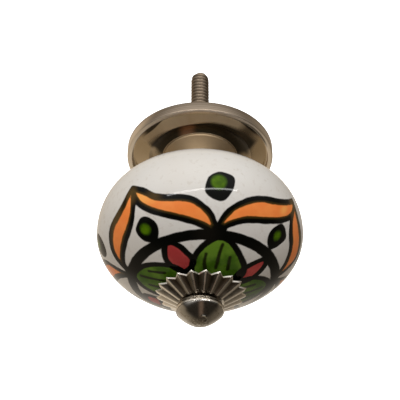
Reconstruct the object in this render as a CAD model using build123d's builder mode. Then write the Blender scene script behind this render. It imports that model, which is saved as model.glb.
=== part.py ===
"""Cabinet knob: a painted ceramic body on a turned nickel base, held on a threaded rod by a finial nut.

Millimetres. The knob is drawn as it sits on a door: +Z is up, the rod runs back along +Y and the finial
points forward along -Y. The origin is the centre of the base's mounting face.
Places along the rod are given as distances forward of that face.
"""

import os
from math import cos, radians, sin

from build123d import *

# Threaded rod
ROD_R = 1.95            # over the thread, on the free rear end
ROD_PITCH_R = 1.72      # middle of the thread, along the hidden length
ROD_FREE_LENGTH = 22.0  # behind the mounting face
ROD_TIP_ROUND = 1.4     # rounded rear tip
THREAD_GAP = 0.03       # between the rod and the threads that hold it
ROD_HOLE_GAP = 0.2      # round the rod, in the metal pieces that it passes through

# Lock nut, sunk in the back of the base
NUT_FLATS = 7.0         # across the flats
NUT_THICKNESS = 2.2
NUT_CHAMFER = 0.35      # height of the turned corners
NUT_WELL_GAP = 0.4      # round the nut's corners, and behind it

# Base
BASE_R = 15.0
BASE_HEIGHT = 9.5       # mounting face to the ceramic
RIM_HEIGHT = 2.2
RIM_WIDTH = 1.0         # flat front of the rim
RIM_ROUND = 0.25        # rounded front edge of the rim
APRON_FOOT = 1.0        # thickness inside the rim, where the sloping apron starts
APRON_TOP = 1.75        # thickness where the apron ends at the groove
GROOVE_OUTER_R = 10.5
GROOVE_FLOOR = 1.2      # thickness under the groove
BOSS_R = 7.7            # foot of the boss, at the groove's inner edge
BOSS_STEP = 0.35        # low upright step of the boss
BOSS_ROUND = 0.22
SHOULDER_TOP = 3.7      # where the boss turns into the neck
SHOULDER_R = 5.5
WAIST = 6.0             # narrowest ring of the neck
WAIST_R = 5.1
SEAT_R = 6.6            # flared seat under the ceramic
SEAT_BAND = 0.5         # straight band at the seat

# Ceramic body
BODY_R = 20.0
BODY_BACK_DEPTH = 12.6  # widest ring to the back pole
BODY_BACK_FULLNESS = 0.676   # 0.552 would be an ellipse
BODY_FRONT_DEPTH = 12.66     # widest ring to the front pole
BODY_FRONT_FULLNESS = 0.552
BODY_BACK_GROUND = 0.35      # ground off the back pole for a flat seat
BODY_FRONT_GROUND = 0.4      # ground off the front pole
BODY_HOLE_R = 3.0

# Petal washer: a folded sheet on a collar. The folds run from a common point on the axis out to the rim
FLUTES = 20
PETAL_TIP_R = 8.45      # rim radius in the valleys, at the petal tips
PETAL_TIP_EDGE = 1.3    # height of the front there, over the washer's back
PETAL_NOTCH_R = 8.0     # rim radius on the ridges, between two petals
PETAL_NOTCH_EDGE = 2.05
PETAL_SHEET = 0.3       # thickness of the sheet, along the rod
HOLLOW_TOP = 2.4        # height at which the hollow behind the sheet ends
FOLD_APEX = 4.8         # height at which the folds would meet
PETAL_TOP = 3.1         # height at which the folds are cut off
PETAL_PHASE = 84.0      # direction of one petal tip, in degrees from +X towards +Z
HUB_R = 4.3             # collar, and spot face for the finial
HUB_HEIGHT = 2.8

# Finial nut
FINIAL_NECK_R = 3.7
FINIAL_NECK = 0.77      # height of the neck under the beads
SMALL_BEAD_ROUND = 0.3  # half thickness of the rear bead
BEAD_ROUND = 0.44       # half thickness of the front bead
BEAD_RING_R = 4.06      # middle of both beads
BEAD_PITCH = 0.67
CONE_STEP = 0.25        # middle of the front bead to the foot of the cone
CONE_R = 4.3            # foot of the cone
CONE_HEIGHT = 2.65
CONE_RISE = 0.5         # how far the cone's side climbs before it turns in
CONE_LEAN = 0.25        # how far it leans in on that climb
TIP_BLUNT = 2.0         # how wide the rounded point is
FINIAL_THREAD_DEPTH = 2.6
ROD_END_GAP = 0.2       # rod end to the bottom of the finial's hole

# Stack, as distances forward of the mounting face
body_back = BASE_HEIGHT
body_middle = body_back + BODY_BACK_DEPTH - BODY_BACK_GROUND
body_front = body_middle + BODY_FRONT_DEPTH - BODY_FRONT_GROUND
washer_back = body_front
finial_back = washer_back + HUB_HEIGHT
rod_front = finial_back + FINIAL_THREAD_DEPTH - ROD_END_GAP
metal_hole_r = ROD_R + ROD_HOLE_GAP
thread_hole_r = ROD_PITCH_R + THREAD_GAP
nut_corner_r = NUT_FLATS / 2 / cos(radians(30))
nut_well_r = nut_corner_r + NUT_WELL_GAP
nut_well_depth = NUT_THICKNESS + NUT_WELL_GAP
boss_edge = APRON_TOP + BOSS_STEP


def at(radius, forward):
    """A profile point, by its radius and its distance forward of the mounting face."""
    return (radius, -forward)


def facing_forward(forward):
    """A plane across the rod that looks forward, with its x along +X and its y along +Z."""
    return Plane(origin=(0, -forward, 0), x_dir=(1, 0, 0), z_dir=(0, -1, 0))


def star(tip_r, notch_r):
    """Corners of the petal outline: a tip and a notch in turn, around the rod."""
    half_step = 180 / FLUTES
    corners = []
    for i in range(2 * FLUTES):
        angle = radians(PETAL_PHASE + i * half_step)
        radius = notch_r if i % 2 else tip_r
        corners.append((radius * cos(angle), radius * sin(angle)))
    return corners


def fold_star(height):
    """The petal outline of the folds, at a height over the washer's back."""
    left = FOLD_APEX - height
    valley_r = PETAL_TIP_R * left / (FOLD_APEX - PETAL_TIP_EDGE)
    ridge_r = PETAL_NOTCH_R * left / (FOLD_APEX - PETAL_NOTCH_EDGE)
    return star(valley_r, ridge_r)


# Threaded rod: full thread radius on the free end, pitch radius where the other pieces hide it
with BuildPart() as threaded_rod:
    with BuildSketch(Plane.XY):
        with BuildLine():
            Polyline(
                at(0, rod_front),
                at(ROD_PITCH_R, rod_front),
                at(ROD_PITCH_R, 0),
                at(ROD_R, 0),
                at(ROD_R, -ROD_FREE_LENGTH),
                at(0, -ROD_FREE_LENGTH),
                close=True,
            )
        make_face()
    revolve(axis=Axis.Y)
    fillet(threaded_rod.edges().group_by(Axis.Y)[-1], ROD_TIP_ROUND)

# Lock nut: a hexagon with turned corners on both sides
with BuildPart() as lock_nut:
    with BuildSketch(facing_forward(nut_well_depth - NUT_THICKNESS)):
        RegularPolygon(nut_corner_r, 6)
        Circle(thread_hole_r, mode=Mode.SUBTRACT)
    extrude(amount=NUT_THICKNESS)
    with BuildSketch(Plane.XY):
        with BuildLine():
            Polyline(
                at(0, nut_well_depth),
                at(NUT_FLATS / 2, nut_well_depth),
                at(nut_corner_r, nut_well_depth - NUT_CHAMFER),
                at(nut_corner_r, nut_well_depth - NUT_THICKNESS + NUT_CHAMFER),
                at(NUT_FLATS / 2, nut_well_depth - NUT_THICKNESS),
                at(0, nut_well_depth - NUT_THICKNESS),
                close=True,
            )
        make_face()
    revolve(axis=Axis.Y, mode=Mode.INTERSECT)

# Base: rim, sloping apron, groove, raised boss, waisted neck and seat, turned in one piece
with BuildPart() as base:
    with BuildSketch(Plane.XY) as base_profile:
        with BuildLine():
            Polyline(
                at(metal_hole_r, BASE_HEIGHT),
                at(metal_hole_r, nut_well_depth),
                at(nut_well_r, nut_well_depth),
                at(nut_well_r, 0),
                at(BASE_R, 0),
                at(BASE_R, RIM_HEIGHT),
                at(BASE_R - RIM_WIDTH, RIM_HEIGHT),
                at(BASE_R - RIM_WIDTH, APRON_FOOT),
                at(GROOVE_OUTER_R, APRON_TOP),
            )
            ThreePointArc(
                at(GROOVE_OUTER_R, APRON_TOP),
                at((GROOVE_OUTER_R + BOSS_R) / 2, GROOVE_FLOOR),
                at(BOSS_R, APRON_TOP),
            )
            Polyline(
                at(BOSS_R, APRON_TOP),
                at(BOSS_R, boss_edge),
                at(SHOULDER_R, SHOULDER_TOP),
            )
            ThreePointArc(
                at(SHOULDER_R, SHOULDER_TOP),
                at(WAIST_R, WAIST),
                at(SEAT_R, BASE_HEIGHT - SEAT_BAND),
            )
            Polyline(
                at(SEAT_R, BASE_HEIGHT - SEAT_BAND),
                at(SEAT_R, BASE_HEIGHT),
                at(metal_hole_r, BASE_HEIGHT),
            )
        make_face()
        rim_corner = base_profile.vertices().sort_by_distance(at(BASE_R, RIM_HEIGHT))[0]
        fillet(rim_corner, RIM_ROUND)
        boss_corner = base_profile.vertices().sort_by_distance(at(BOSS_R, boss_edge))[0]
        fillet(boss_corner, BOSS_ROUND)
    revolve(axis=Axis.Y)

# Ceramic body: two different curves meet at the widest ring, and both poles are ground flat
with BuildPart() as ceramic_knob:
    with BuildSketch(Plane.XY):
        with BuildLine():
            Bezier(
                at(0, body_middle - BODY_BACK_DEPTH),
                at(BODY_R * BODY_BACK_FULLNESS, body_middle - BODY_BACK_DEPTH),
                at(BODY_R, body_middle - BODY_BACK_DEPTH * BODY_BACK_FULLNESS),
                at(BODY_R, body_middle),
            )
            Bezier(
                at(BODY_R, body_middle),
                at(BODY_R, body_middle + BODY_FRONT_DEPTH * BODY_FRONT_FULLNESS),
                at(BODY_R * BODY_FRONT_FULLNESS, body_middle + BODY_FRONT_DEPTH),
                at(0, body_middle + BODY_FRONT_DEPTH),
            )
            Line(at(0, body_middle + BODY_FRONT_DEPTH), at(0, body_middle - BODY_BACK_DEPTH))
        make_face()
    revolve(axis=Axis.Y)
    split(bisect_by=facing_forward(body_front), keep=Keep.BOTTOM)
    split(bisect_by=facing_forward(body_back), keep=Keep.TOP)
    with BuildSketch(facing_forward(body_back)):
        Circle(BODY_HOLE_R)
    extrude(amount=body_front - body_back, mode=Mode.SUBTRACT)

# Petal washer: front folded into ridges and valleys, rim cut to petal tips, hollow behind but for the collar
with BuildPart() as petal_washer:
    with BuildSketch(facing_forward(washer_back)):
        Polygon(*fold_star(0), align=None)
    with BuildSketch(facing_forward(washer_back + PETAL_TOP)):
        Polygon(*fold_star(PETAL_TOP), align=None)
    loft(ruled=True)
    with BuildSketch(facing_forward(washer_back)):
        Polygon(*star(PETAL_TIP_R, PETAL_NOTCH_R), align=None)
    extrude(amount=PETAL_TOP, mode=Mode.INTERSECT)
    with BuildSketch(facing_forward(washer_back)):
        Polygon(*fold_star(PETAL_SHEET), align=None)
    with BuildSketch(facing_forward(washer_back + HOLLOW_TOP)):
        Polygon(*fold_star(HOLLOW_TOP + PETAL_SHEET), align=None)
    loft(ruled=True, mode=Mode.SUBTRACT)
    with BuildSketch(facing_forward(washer_back)):
        Circle(HUB_R)
    extrude(amount=HOLLOW_TOP)
    with BuildSketch(facing_forward(washer_back + HUB_HEIGHT)):
        Circle(HUB_R)
    extrude(amount=PETAL_TOP - HUB_HEIGHT, mode=Mode.SUBTRACT)
    with BuildSketch(facing_forward(washer_back)):
        Circle(metal_hole_r)
    extrude(amount=PETAL_TOP, mode=Mode.SUBTRACT)

# Finial nut: neck, two beads and a blunt cone, with a blind threaded hole
first_bead = finial_back + FINIAL_NECK + SMALL_BEAD_ROUND
second_bead = first_bead + BEAD_PITCH
cone_foot = second_bead + CONE_STEP
cone_tip = cone_foot + CONE_HEIGHT
with BuildPart() as finial_nut:
    with BuildSketch(Plane.XY):
        with BuildLine():
            Polyline(
                at(0, finial_back),
                at(FINIAL_NECK_R, finial_back),
                at(FINIAL_NECK_R, cone_foot),
                at(CONE_R, cone_foot),
            )
            Bezier(
                at(CONE_R, cone_foot),
                at(CONE_R - CONE_LEAN, cone_foot + CONE_RISE),
                at(TIP_BLUNT, cone_tip),
                at(0, cone_tip),
            )
            Line(at(0, cone_tip), at(0, finial_back))
        make_face()
        with Locations(at(BEAD_RING_R, first_bead)):
            Circle(SMALL_BEAD_ROUND)
        with Locations(at(BEAD_RING_R, second_bead)):
            Circle(BEAD_ROUND)
    revolve(axis=Axis.Y)
    with BuildSketch(facing_forward(finial_back)):
        Circle(thread_hole_r)
    extrude(amount=FINIAL_THREAD_DEPTH, mode=Mode.SUBTRACT)

pieces = {
    "threaded_rod": threaded_rod,
    "lock_nut": lock_nut,
    "base": base,
    "ceramic_knob": ceramic_knob,
    "petal_washer": petal_washer,
    "finial_nut": finial_nut,
}
os.makedirs("parts", exist_ok=True)
for name, piece in pieces.items():
    piece.part.label = name
    export_step(piece.part, f"parts/{name}.step")
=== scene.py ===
"""Looks of the cabinet knob: painted ceramic body, turned base, threaded rod, petal washer and finial nut.

Values are millimetres and meshes are metres. The rod runs back along +Y and the finial points forward
along -Y, so a place along the rod is given as its distance forward of the mounting face.
"""

from math import atan2, cos, degrees, pi, radians, sin, tau
from types import SimpleNamespace

import bmesh
import bpy
import numpy as np
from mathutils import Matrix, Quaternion, Vector
from mathutils.geometry import interpolate_bezier


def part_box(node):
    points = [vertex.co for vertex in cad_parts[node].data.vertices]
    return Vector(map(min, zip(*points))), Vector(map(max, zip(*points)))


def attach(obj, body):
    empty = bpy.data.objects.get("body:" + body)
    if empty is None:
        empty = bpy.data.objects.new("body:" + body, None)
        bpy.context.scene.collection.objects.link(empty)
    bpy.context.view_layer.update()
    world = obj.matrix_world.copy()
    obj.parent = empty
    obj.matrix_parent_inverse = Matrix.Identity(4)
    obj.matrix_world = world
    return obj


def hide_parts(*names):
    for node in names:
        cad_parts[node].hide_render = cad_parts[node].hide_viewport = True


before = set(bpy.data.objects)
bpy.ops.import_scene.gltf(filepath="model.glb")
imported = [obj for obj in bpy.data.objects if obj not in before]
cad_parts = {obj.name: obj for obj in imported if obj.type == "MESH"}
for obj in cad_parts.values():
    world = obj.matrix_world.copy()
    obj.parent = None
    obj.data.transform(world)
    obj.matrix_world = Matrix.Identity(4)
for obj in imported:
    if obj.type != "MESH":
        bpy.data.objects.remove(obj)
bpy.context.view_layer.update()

MM = 0.001
MERGE = 0.002           # points closer than this are one point

# Camera, as fitted to the photograph
CAMERA_ELEVATION = 52.33    # degrees
CAMERA_DISTANCE = 195.82
CAMERA_AIM = 12.727         # forward of the mounting face
LENS = 88.13
SENSOR = 36.0

# Threaded rod
THREAD_PITCH = 0.9
THREAD_DEPTH = 0.28
THREAD_CUTS = 8         # rings to one turn of the thread
ROD_SIDES = 40
ROD_TIP_ROUND = 1.4
ROD_TIP_CUTS = 8

# Base
RIM_HEIGHT = 2.2
RIM_WIDTH = 1.0
RIM_ROUND = 0.25
RIM_INNER_ROUND = 0.12
RIM_FOOT_COVE = 0.5
BACK_EDGE_ROUND = 0.1
APRON_FOOT = 1.0        # thickness inside the rim, where the sloping apron starts
APRON_TOP = 1.75
GROOVE_OUTER_R = 10.5
GROOVE_FLOOR = 1.2
BOSS_R = 7.7
BOSS_STEP = 0.35
BOSS_ROUND = 0.22
SHOULDER_TOP = 3.7
SHOULDER_R = 5.5
WAIST = 6.0
WAIST_R = 5.1
SEAT_R = 6.6
SEAT_BAND = 0.5
NUT_WELL_R = 4.44
NUT_WELL_DEPTH = 2.6
METAL_HOLE_R = 2.15

# Ceramic body
BODY_BACK_DEPTH = 12.6
BODY_BACK_GROUND = 0.35
BODY_BACK_FULLNESS = 0.676
BODY_FRONT_DEPTH = 12.66
BODY_FRONT_FULLNESS = 0.552
BODY_HOLE_R = 3.0

# Petal washer
FLUTES = 20
PETAL_TIP_R = 8.55
PETAL_TIP_EDGE = 0.84
PETAL_NOTCH_R = 7.45
PETAL_NOTCH_EDGE = 0.98
PETAL_SHEET = 0.3
RIDGE_TOP = 3.4         # heights of a ridge and a valley at the hub
VALLEY_TOP = 2.85
HOLLOW_TOP = 2.4
PETAL_PHASE = 84.0      # degrees from the right to the first ridge
HUB_R = 4.3
HUB_HEIGHT = 2.8
RIDGE_ROUND = 0.44
WASHER_SHIFT = 0.2      # to the right, within the play of its hole
WASHER_LEAN = 0.05      # the folded sheet sits a little askew, with its top further forward

# Finial nut
FINIAL_NECK_R = 3.7
FINIAL_NECK = 0.77
SMALL_BEAD_ROUND = 0.3
BEAD_ROUND = 0.44
BEAD_RING_R = 4.06
BEAD_PITCH = 0.67
CONE_STEP = 0.25
CONE_R = 4.3
CONE_RISE = 0.5
CONE_LEAN = 0.25
TIP_BLUNT = 2.0
FINIAL_HOLE_R = 1.75
FINIAL_HOLE_DEPTH = 2.6


def span(node):
    """Radius, back and front of a CAD node. Back and front are distances forward."""
    low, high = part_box(node)
    return high.x / MM, -high.y / MM, -low.y / MM


BASE_R, _, BASE_HEIGHT = span("base")
BODY_R, BODY_BACK, BODY_FRONT = span("ceramic_knob")
FINIAL_BACK, FINIAL_FRONT = span("finial_nut")[1:]
WASHER_BACK = span("petal_washer")[1]
ROD_R, ROD_END, ROD_FRONT = span("threaded_rod")
BODY_MIDDLE = BODY_BACK + BODY_BACK_DEPTH - BODY_BACK_GROUND


# Shaping helpers
def curve(points, steps):
    """Points on a cubic curve with these two ends and two handles."""
    first, handle, other_handle, last = [Vector(p) for p in points]
    return [tuple(p) for p in interpolate_bezier(first, handle, other_handle, last, steps)]


def arc(centre, radius, start, end, steps):
    """Points on an arc, by angles in degrees from outward towards forward."""
    turns = [radians(start + (end - start) * i / (steps - 1)) for i in range(steps)]
    return [(centre[0] + radius * cos(t), centre[1] + radius * sin(t)) for t in turns]


def turned(profile, steps, closed):
    """Spins a profile of (radius, distance forward) points round the rod."""
    bm = bmesh.new()
    verts = [bm.verts.new((radius * MM, -forward * MM, 0)) for radius, forward in profile]
    edges = [bm.edges.new(pair) for pair in zip(verts, verts[1:])]
    if closed:
        edges.append(bm.edges.new((verts[-1], verts[0])))
    bmesh.ops.spin(
        bm, geom=verts + edges, cent=(0, 0, 0), axis=(0, 1, 0), angle=tau, steps=steps, use_merge=True,
    )
    bmesh.ops.remove_doubles(bm, verts=bm.verts, dist=MERGE * MM)
    bmesh.ops.recalc_face_normals(bm, faces=bm.faces)
    return bm


def round_ring(bm, radius, forward, size, segments):
    """Rounds the turned edge that runs round the rod at this radius and distance forward."""
    def on_ring(vert):
        off_radius = abs(Vector((vert.co.x, vert.co.z)).length - radius * MM)
        return off_radius < MERGE * MM and abs(vert.co.y + forward * MM) < MERGE * MM
    ring = [e for e in bm.edges if all(on_ring(v) for v in e.verts)]
    bmesh.ops.bevel(
        bm, geom=ring, offset=size * MM, offset_type="OFFSET", segments=segments,
        profile=0.5, affect="EDGES", material=-1,
    )


def as_piece(bm, name, node, material, sharp=40):
    """Makes a finished mesh the visible piece that stands for a CAD node."""
    mesh = bpy.data.meshes.new(name)
    bm.to_mesh(mesh)
    bm.free()
    mesh.shade_smooth()
    mesh.set_sharp_from_angle(angle=radians(sharp))
    mesh.materials.append(material)
    piece = bpy.data.objects.new(name, mesh)
    bpy.context.scene.collection.objects.link(piece)
    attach(piece, "root")
    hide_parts(node)
    return piece


# Shader helpers
def pigment(red, green, blue):
    """A colour as the eye reads it, 0 to 255, turned into linear light."""
    return (*[((level / 255 + 0.055) / 1.055) ** 2.4 for level in (red, green, blue)], 1.0)


class Nodes:
    """Adds nodes to a tree. Each call hands back the new node's output."""

    def __init__(self, tree):
        self.tree = tree

    def feed(self, socket, value):
        if isinstance(value, bpy.types.NodeSocket):
            self.tree.links.new(value, socket)
        else:
            socket.default_value = value

    def add(self, kind, output, inputs, **settings):
        node = self.tree.nodes.new(kind)
        for key, value in settings.items():
            setattr(node, key, value)
        for key, value in inputs.items():
            self.feed(node.inputs[key], value)
        return node.outputs[output]

    def math(self, operation, first, second=0.0):
        return self.add("ShaderNodeMath", 0, {0: first, 1: second}, operation=operation)

    def times(self, first, *others):
        """The product of two or more values."""
        for other in others:
            first = self.math("MULTIPLY", first, other)
        return first

    def rest(self, share):
        """What a share leaves of 1."""
        return self.math("SUBTRACT", 1.0, share)

    def off(self, value, middle):
        """How far a value lies from a middle, to either side."""
        return self.math("ABSOLUTE", self.math("SUBTRACT", value, middle))

    def fade(self, value, low, high):
        """0 at low, 1 at high and a smooth step between them."""
        ends = {"Value": value, "From Min": low, "From Max": high}
        return self.add("ShaderNodeMapRange", 0, ends, interpolation_type="SMOOTHSTEP")

    def scale(self, value, low, high, to_low, to_high):
        ends = {"Value": value, "From Min": low, "From Max": high, "To Min": to_low, "To Max": to_high}
        return self.add("ShaderNodeMapRange", 0, ends)

    def blend(self, share, first, second):
        """A number from first to second, by share."""
        return self.scale(share, 0, 1, first, second)

    def mix(self, share, first, second):
        """A colour from first to second, by share."""
        # The node's colours are its inputs 6 and 7 and its output 2
        return self.add("ShaderNodeMix", 2, {0: share, 6: first, 7: second}, data_type="RGBA")

    def place(self):
        return self.add("ShaderNodeTexCoord", "Object", {})

    def split(self, vector):
        node = self.tree.nodes.new("ShaderNodeSeparateXYZ")
        self.feed(node.inputs[0], vector)
        return node.outputs

    def noise(self, per_mm, detail):
        """Cloudy noise with about this many patches to the millimetre."""
        inputs = {"Vector": self.place(), "Scale": per_mm / MM, "Detail": detail}
        return self.add("ShaderNodeTexNoise", 0, inputs)

    def patches(self, per_mm, detail, low, high):
        """Soft-edged patches: 0 where the noise is below low and 1 where it is above high."""
        return self.fade(self.noise(per_mm, detail), low, high)

    def field(self, name):
        return self.add("ShaderNodeAttribute", "Fac", {}, attribute_name=name)

    def bump(self, height, depth, strength):
        inputs = {"Height": height, "Distance": depth * MM, "Strength": strength}
        return self.add("ShaderNodeBump", 0, inputs)


class Finish(Nodes):
    """A surface finish: one shader whose sockets are set or fed by nodes."""

    def __init__(self, name, **plain):
        self.material = bpy.data.materials.new(name)
        self.material.use_nodes = True
        super().__init__(self.material.node_tree)
        self.shader = self.tree.nodes["Principled BSDF"]
        for socket, value in plain.items():
            self.set(socket.replace("_", " "), value)

    def set(self, socket, value):
        self.feed(self.shader.inputs[socket], value)

    def radius(self):
        """Distance from the rod's axis, in millimetres."""
        across = {0: self.place(), 1: (1 / MM, 0, 1 / MM)}
        flat = self.add("ShaderNodeVectorMath", 0, across, operation="MULTIPLY")
        return self.add("ShaderNodeVectorMath", "Value", {0: flat}, operation="LENGTH")

    def forward(self):
        """Distance forward of the mounting face, in millimetres."""
        return self.math("MULTIPLY", self.split(self.place())["Y"], -1 / MM)


# Painted ornament, drawn on the ceramic's front as if it were laid flat: x to the right and y up,
# millimetres from the front pole. It is one half. The other is nearly the same, turned by 180 degrees.
RING_CENTRE = (0.75, 0.2)
RING_R = 14.05
RING_WIDTH = 2.05
OUTLINE = 1.3
LEAF_OUTLINE = 1.15
BERRY_OUTLINE = 1.2
VEIN = 0.68
TURN_SHIFT = (0.8, 0.0)

# Each petal has two arms that meet at its point. An arm has an outer and an inner line.
PETAL_ARMS = [
    (
        [(3.1, 15.2), (2.6, 16.6), (1.95, 18.0), (0.6, 19.35), (-1.4, 20.5), (-3.3, 20.8), (-5.6, 20.6),
         (-9.2, 20.15), (-11.6, 20.45), (-13.6, 20.4), (-15.7, 20.1)],
        [(2.3, 15.0), (-0.3, 16.4), (-3.1, 17.1), (-6.0, 17.4), (-8.9, 17.5), (-11.4, 17.75), (-13.0, 18.2),
         (-14.8, 19.4)],
    ),
    (
        [(-15.7, 20.1), (-16.0, 18.4), (-16.45, 16.2), (-17.3, 13.7), (-18.15, 11.2), (-18.4, 8.7),
         (-17.9, 6.3), (-16.9, 4.4), (-15.5, 3.2), (-13.8, 1.8)],
        [(-14.8, 19.4), (-14.0, 17.2), (-13.7, 14.8), (-14.1, 12.3), (-14.7, 9.8), (-15.1, 7.3),
         (-15.2, 5.0), (-14.9, 3.4), (-13.8, 2.0)],
    ),
    (
        [(3.4, 15.2), (3.8, 16.2), (4.9, 17.5), (6.5, 18.55), (8.5, 19.1), (10.8, 19.2), (13.3, 18.65),
         (15.8, 17.45), (18.6, 15.95), (21.2, 14.6), (23.6, 13.4)],
        [(3.9, 15.2), (6.1, 15.9), (8.6, 16.0), (11.1, 15.35), (13.6, 14.4), (16.1, 13.35), (18.6, 12.4),
         (20.8, 12.1), (23.0, 12.7)],
    ),
    (
        [(23.6, 13.4), (22.9, 12.0), (22.5, 10.0), (22.4, 8.0), (22.3, 6.0), (22.0, 3.5), (21.3, 1.4),
         (20.0, 0.0), (17.6, -0.6), (14.5, -1.0)],
        [(23.0, 12.7), (21.2, 12.1), (19.9, 11.2), (19.25, 9.8), (18.95, 8.0), (18.8, 6.0), (18.3, 4.0),
         (17.5, 2.2), (16.2, 0.5), (14.5, -0.8)],
    ),
]
PALE_PATCHES = [(-12.3, 19.3, 2.4, 0.9), (18.4, 14.4, 1.1, 0.7)]
THIN_INK = [
    (-15.2, 18.8, 1.5, 1.7), (-17.5, 12.5, 1.2, 5.0), (-9.6, 20.3, 1.3, 0.7), (22.6, 11.8, 2.4, 3.0),
    (22.2, 5.0, 1.3, 5.0),
]
JUNCTIONS = [(3.4, 15.3, 1.9, 1.2), (-13.8, 2.0, 1.0, 1.5)]
LEAVES = [
    [(3.6, 13.5), (5.4, 12.6), (6.7, 10.7), (7.6, 8.5), (8.2, 6.2), (7.9, 3.8), (5.0, 1.2), (1.5, 1.2),
     (-0.9, 3.8), (-1.5, 6.3), (-1.3, 8.6), (-0.3, 10.9), (1.6, 12.8)],
    [(-12.7, 1.9), (-11.2, 4.8), (-8.9, 6.4), (-6.0, 7.0), (-3.6, 6.4), (-2.0, 3.5), (-4.4, -1.7),
     (-8.1, -2.5), (-11.2, -1.0)],
]
VEINS = [
    [(4.2, 12.0), (3.6, 10.2), (2.9, 6.8)], [(1.1, 10.2), (0.8, 8.4), (0.9, 6.6)], [(5.5, 9.0), (5.1, 6.2)],
    [(-9.6, 4.4), (-6.5, 4.9)], [(-11.2, 2.3), (-5.5, 2.7)], [(-9.6, 0.2), (-5.5, 0.3)],
]
UPPER_BERRY = [
    (-6.2, 12.2), (-4.0, 11.8), (-2.4, 10.4), (-1.3, 9.0), (-1.6, 7.2), (-3.0, 5.8), (-4.8, 6.6),
    (-6.1, 8.0), (-6.6, 9.9),
]
SIDE_BERRY = [
    (7.2, 4.8), (9.2, 6.0), (12.1, 6.5), (12.7, 5.4), (11.5, 3.6), (9.6, 2.1), (7.7, 1.7), (6.5, 3.0),
]
LOW_SIDE_BERRY = [(11.4, 4.6), (9.4, 4.4), (8.0, 5.6), (7.7, 7.4), (8.7, 8.8), (10.4, 8.2), (11.5, 6.6)]
# Dots: outline of the dark blot, then centre, half width and half height of its green heart
DOTS = [
    ([(-12.4, 14.0), (-11.9, 15.4), (-10.6, 16.2), (-9.0, 15.9), (-8.0, 15.0), (-7.8, 13.2), (-8.3, 11.7),
      (-10.2, 11.2), (-11.7, 11.8), (-12.5, 12.8)], (-10.5, 13.7, 1.05, 1.05)),
    ([(13.0, 10.3), (13.5, 11.8), (15.0, 12.5), (16.7, 12.3), (17.5, 11.2), (17.6, 9.3), (17.0, 8.3),
      (15.2, 8.0), (13.5, 8.2), (13.1, 9.2)], (15.35, 10.4, 0.85, 0.9)),
    ([(1.1, 23.0), (2.1, 24.9), (4.3, 25.8), (6.3, 25.3), (7.75, 24.2), (7.45, 22.6), (6.2, 21.0),
      (4.6, 20.1), (2.5, 20.7), (1.2, 21.7)], (4.1, 23.7, 1.65, 1.4)),
    ([(-24.3, 2.8), (-23.6, 4.7), (-21.9, 5.4), (-20.2, 4.7), (-19.5, 2.8), (-20.2, 0.9), (-21.9, 0.2),
      (-23.6, 0.9)], (-22.6, 2.3, 0.8, 1.2)),
]
LINE_STEPS = 6          # places on the curve from one point of a painted line to the next
HANDLE_PART = 6         # a curve's handle is a sixth of the way between a point's two neighbours
TINY = 1e-9
PAINT_REACH = 34.0      # nothing is painted further from the front pole
FAR = 9.0
NEAR = 2.5              # how far round a painted line its distance is worked out


def painted_line(points, closed=False):
    """A smooth line through the points, as an array of closely spaced places."""
    spots = [Vector(p) for p in points]
    count = len(spots)
    line = []
    for i in range(count if closed else count - 1):
        here, there = spots[i], spots[(i + 1) % count]
        before = spots[i - 1] if closed or i else here
        after = spots[(i + 2) % count] if closed or i + 2 < count else there
        handle = here + (there - before) / HANDLE_PART
        other_handle = there - (after - here) / HANDLE_PART
        line += interpolate_bezier(here, handle, other_handle, there, LINE_STEPS)[:-1]
    line.append(spots[0] if closed else spots[-1])
    return np.array(line)


def stroke_gap(places, line, width):
    """Distance from each place to the edge of a brush stroke, negative inside it."""
    gap = np.full(len(places), FAR)
    centre = (line.max(axis=0) + line.min(axis=0)) / 2
    reach = (line.max(axis=0) - line.min(axis=0)) / 2 + NEAR
    near = np.all(np.abs(places - centre) < reach, axis=1)
    x, y = places[near].T
    nearest = np.full(len(x), FAR)
    for (start_x, start_y), (end_x, end_y) in zip(line, line[1:]):
        along_x, along_y = end_x - start_x, end_y - start_y
        length_squared = max(along_x ** 2 + along_y ** 2, TINY)
        share = np.clip(((x - start_x) * along_x + (y - start_y) * along_y) / length_squared, 0, 1)
        off_x = x - start_x - share * along_x
        off_y = y - start_y - share * along_y
        nearest = np.minimum(nearest, np.hypot(off_x, off_y))
    gap[near] = nearest
    return gap - width / 2


def area_gap(places, line):
    """Distance from each place to the edge of a closed painted area, negative inside it."""
    gap = stroke_gap(places, line, 0)
    x, y = places.T
    inside = np.zeros(len(places), bool)
    for start, end in zip(line, line[1:]):
        if start[1] == end[1]:
            continue
        reach = start[0] + (y - start[1]) / (end[1] - start[1]) * (end[0] - start[0])
        inside ^= ((start[1] > y) != (end[1] > y)) & (x < reach)
    return np.where(inside, -gap, gap)


def blot_gap(places, blot):
    """Distance from each place to the edge of an oval blot, negative inside it."""
    x, y, half_width, half_height = blot
    out = np.hypot((places[:, 0] - x) / half_width, (places[:, 1] - y) / half_height)
    return (out - 1) * min(half_width, half_height)


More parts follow.
